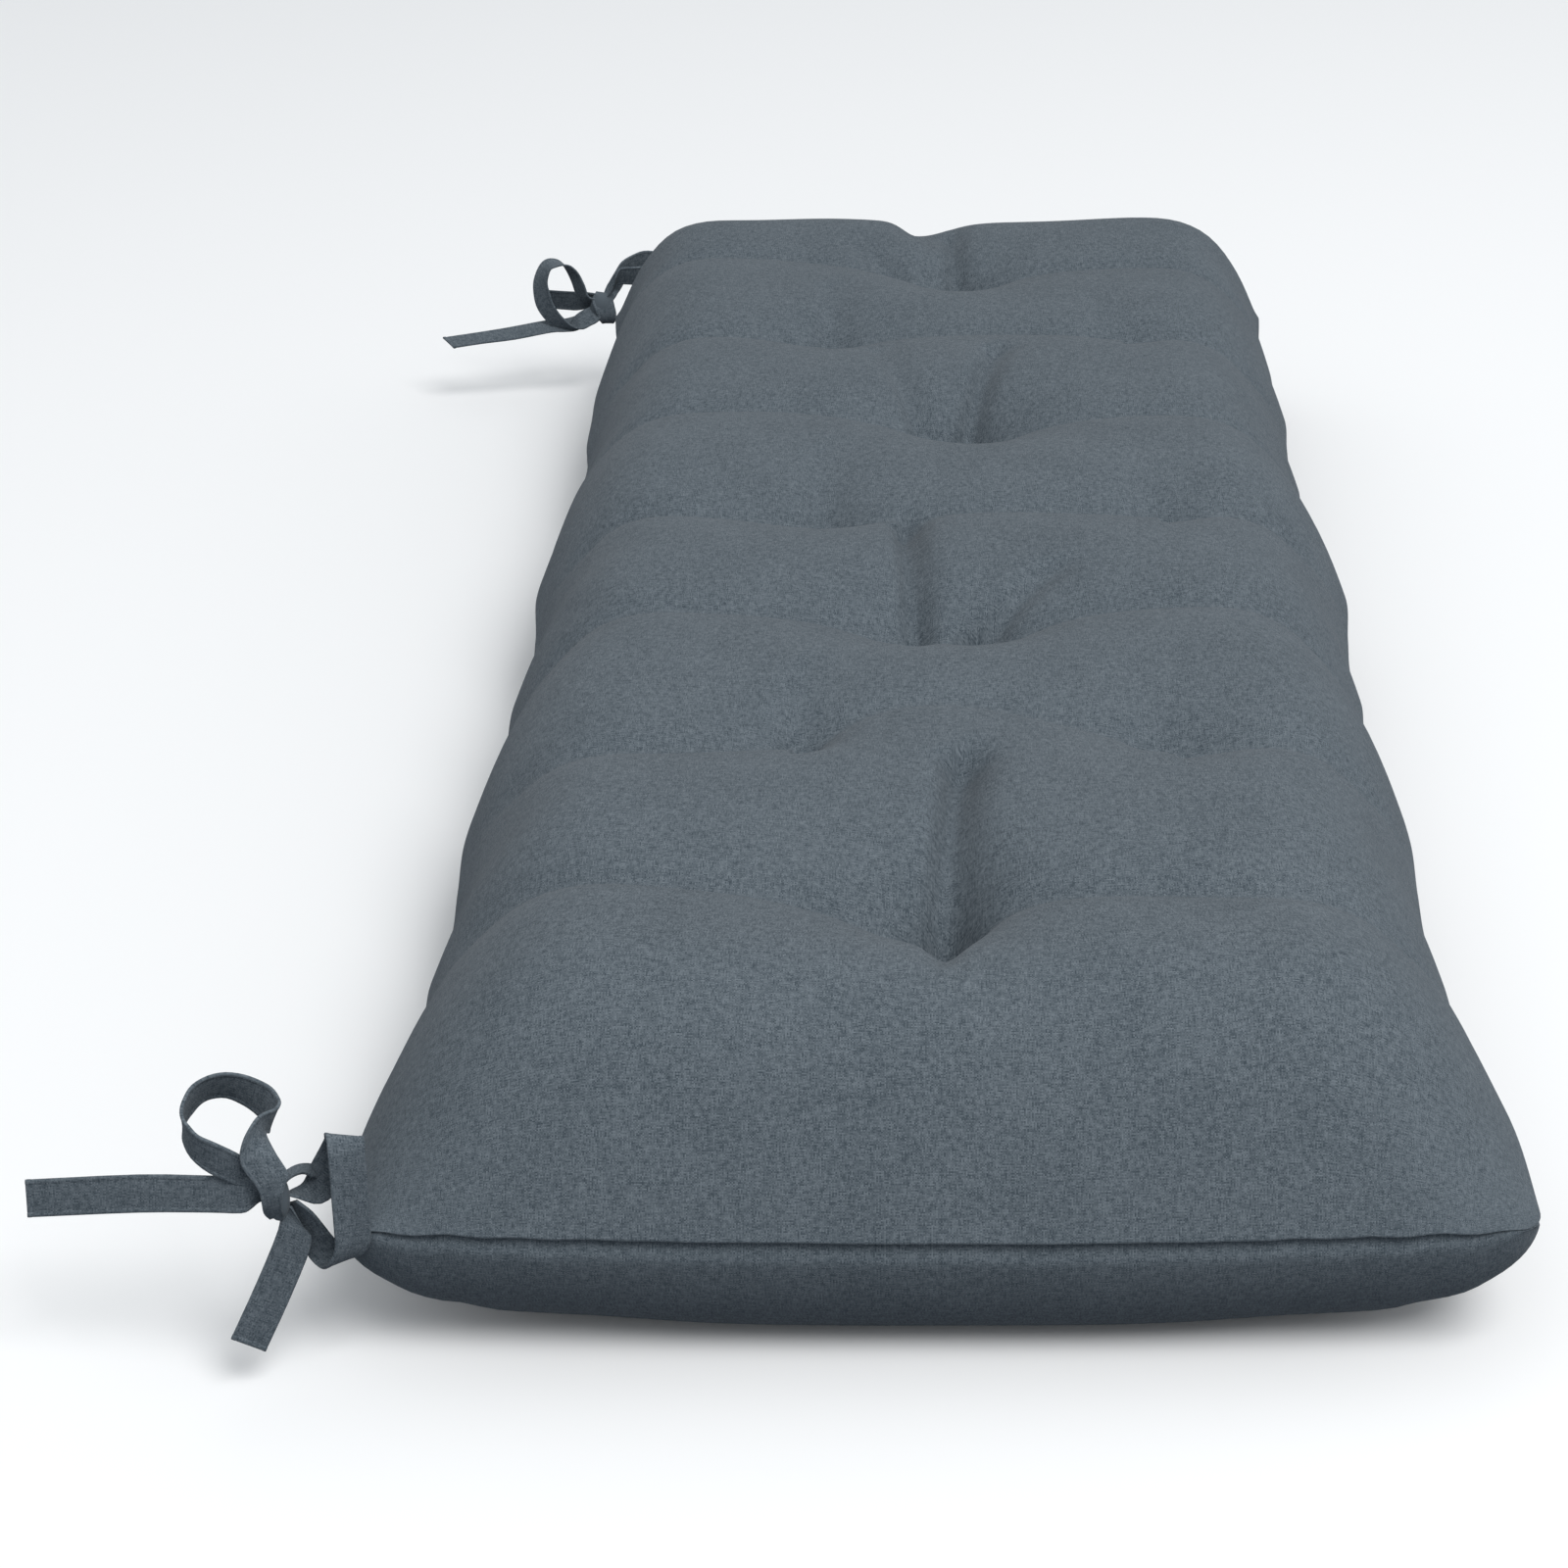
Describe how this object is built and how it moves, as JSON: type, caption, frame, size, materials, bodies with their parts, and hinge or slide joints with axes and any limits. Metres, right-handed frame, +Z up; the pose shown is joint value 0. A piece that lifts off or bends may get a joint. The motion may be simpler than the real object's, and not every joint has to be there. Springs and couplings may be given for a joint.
{
  "type": "bench cushion",
  "caption": "Long tufted bench seat cushion: two sewn cloth panels over soft filling, drawn down by buttonless tufts, with a tied cloth bow at two corners.",
  "frame": {"origin": "middle of the flat resting area of the underside, on the surface that the cushion lies on", "axes": "+Y along the cushion's length, away from the end with the nearer bow in the picture, +Z up, out of the tufted face, bows on the -X side"},
  "size_m": [0.5817, 1.1961, 0.1462],
  "materials": {
    "cushion_cloth": "matte plain-weave cloth",
    "tie_cloth": "matte plain-weave cloth, hemmed"
  },
  "bodies": {
    "root": {"cushion": "cushion_cloth", "tie_near": "tie_cloth", "tie_far": "tie_cloth"}
  },
  "joints": []
}
